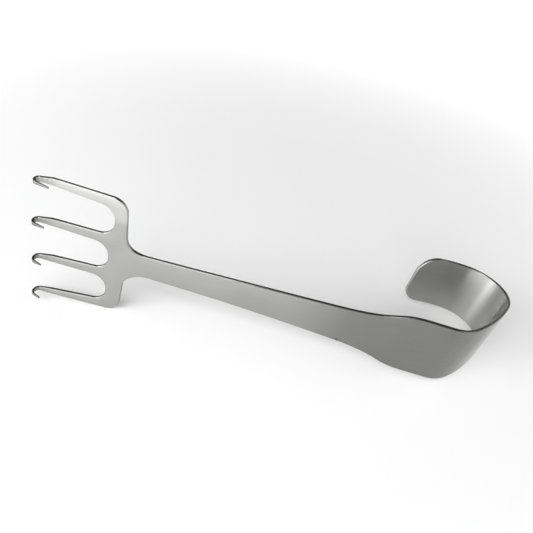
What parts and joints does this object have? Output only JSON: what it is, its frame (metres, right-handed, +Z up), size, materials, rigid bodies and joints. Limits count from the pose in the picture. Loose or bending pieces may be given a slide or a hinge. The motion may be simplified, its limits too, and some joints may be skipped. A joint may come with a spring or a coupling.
{
  "type": "rake retractor",
  "caption": "Handheld rake retractor in one piece of bent plate, with curled prongs, a flat handle and an open loop grip.",
  "frame": {"origin": "middle of the underside of the outer box, on the surface that the retractor rests on", "axes": "+X along the retractor, from the prongs towards the loop; +Z up; the front face, which the prongs curl towards, looks along -Y"},
  "size_m": [0.2094, 0.0542, 0.0618],
  "materials": {
    "satin_steel": "satin brushed stainless steel"
  },
  "bodies": {
    "root": {"retractor": "satin_steel"}
  },
  "joints": []
}
